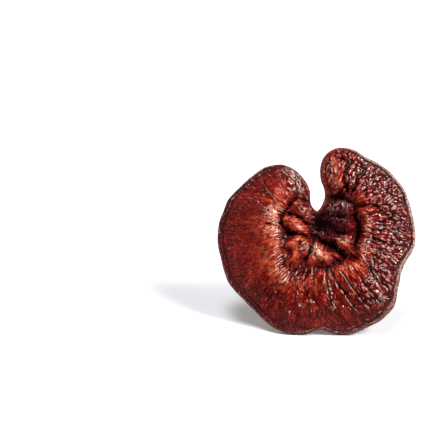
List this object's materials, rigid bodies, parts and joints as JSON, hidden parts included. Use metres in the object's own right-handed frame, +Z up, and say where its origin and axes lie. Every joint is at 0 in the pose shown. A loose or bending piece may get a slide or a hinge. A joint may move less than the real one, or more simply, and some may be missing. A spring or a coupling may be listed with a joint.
{
  "type": "reishi mushroom",
  "caption": "Dried reishi mushroom: a wrinkled, lacquered kidney-shaped cap with a rolled margin, leaning back on its lower margin and on the flat cut foot of a short curved stem.",
  "frame": {"origin": "on the surface it stands on, under the centre of the whole mushroom's box", "axes": "+Z up, -Y the way the cap faces, +X to the right seen from in front of the cap"},
  "size_m": [0.1194, 0.0772, 0.1068],
  "materials": {
    "cap_crust": "lacquered gloss, wrinkled",
    "stem_crust": "lacquered gloss, knobbly"
  },
  "bodies": {
    "root": {"cap": "cap_crust", "stem": "stem_crust"}
  },
  "joints": []
}
